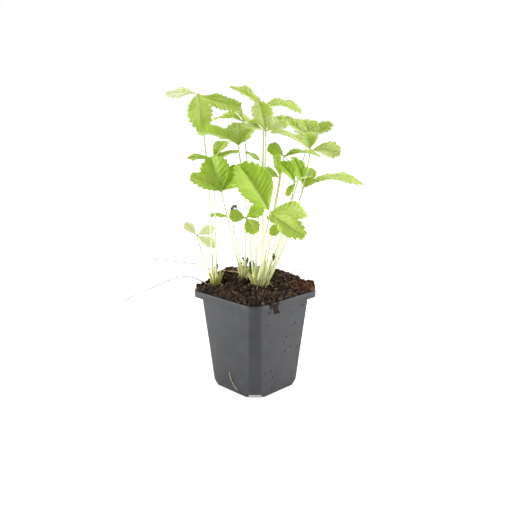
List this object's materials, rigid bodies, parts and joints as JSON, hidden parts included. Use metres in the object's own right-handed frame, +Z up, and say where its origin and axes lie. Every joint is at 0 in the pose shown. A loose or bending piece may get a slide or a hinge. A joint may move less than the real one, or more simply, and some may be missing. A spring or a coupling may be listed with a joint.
{
  "type": "potted strawberry plant",
  "caption": "Young strawberry plant with upright stems and toothed three-part leaves, growing from heaped soil in a tapered square nursery pot with a turned-down rim.",
  "frame": {"origin": "centre of the pot's flat base, on the surface it stands on", "axes": "+Z up along the pot's axis; the pot's faces are square to X and Y; headings of leaves are about +Z, and the side with the large front leaf faces +X and -Y"},
  "size_m": [0.1735, 0.1683, 0.2896],
  "materials": {
    "pot_plastic": "matte dark grey moulded plastic",
    "soil": "moist crumbly potting compost",
    "crown": "dull papery sheath",
    "petiole": "pale green, finely hairy stem",
    "leaf": "satin green leaf, light passes through",
    "young_leaf": "satin young leaf on its pale stem",
    "runner": "dry thin brown runner",
    "straw": "dry stalk"
  },
  "bodies": {
    "root": {"pot": "pot_plastic", "soil": "soil", "crown_main": "crown", "crown_mid": "crown", "crown_left": "crown", "leaf_01_petiole": "petiole", "leaf_01_leaflet_a": "leaf", "leaf_01_leaflet_b": "leaf", "leaf_01_leaflet_c": "leaf", "leaf_02_petiole": "petiole", "leaf_02_leaflet_a": "leaf", "leaf_02_leaflet_b": "leaf", "leaf_02_leaflet_c": "leaf", "leaf_03_petiole": "petiole", "leaf_03_leaflet_a": "leaf", "leaf_03_leaflet_b": "leaf", "leaf_03_leaflet_c": "leaf", "leaf_04_petiole": "petiole", "leaf_04_leaflet_a": "leaf", "leaf_04_leaflet_b": "leaf", "leaf_04_leaflet_c": "leaf", "leaf_05_petiole": "petiole", "leaf_05_leaflet_a": "leaf", "leaf_05_leaflet_b": "leaf", "leaf_05_leaflet_c": "leaf", "leaf_06_petiole": "petiole", "leaf_06_leaflet_a": "leaf", "leaf_06_leaflet_b": "leaf", "leaf_06_leaflet_c": "leaf", "leaf_07_petiole": "petiole", "leaf_07_leaflet_a": "leaf", "leaf_07_leaflet_b": "leaf", "leaf_07_leaflet_c": "leaf", "leaf_08_petiole": "petiole", "leaf_08_leaflet_a": "leaf", "leaf_08_leaflet_b": "leaf", "leaf_08_leaflet_c": "leaf", "leaf_09_petiole": "petiole", "leaf_09_leaflet_a": "leaf", "leaf_09_leaflet_b": "leaf", "leaf_09_leaflet_c": "leaf", "leaf_10_petiole": "petiole", "leaf_10_leaflet_a": "leaf", "leaf_10_leaflet_b": "leaf", "leaf_10_leaflet_c": "leaf", "young_01": "young_leaf", "young_02": "young_leaf", "young_03": "young_leaf", "young_04": "young_leaf", "young_05": "young_leaf", "young_06": "young_leaf", "young_07": "young_leaf", "young_08": "young_leaf", "young_09": "young_leaf", "runner_left_high": "runner", "runner_left_low": "runner", "runner_right": "runner", "straw": "straw"}
  },
  "joints": []
}
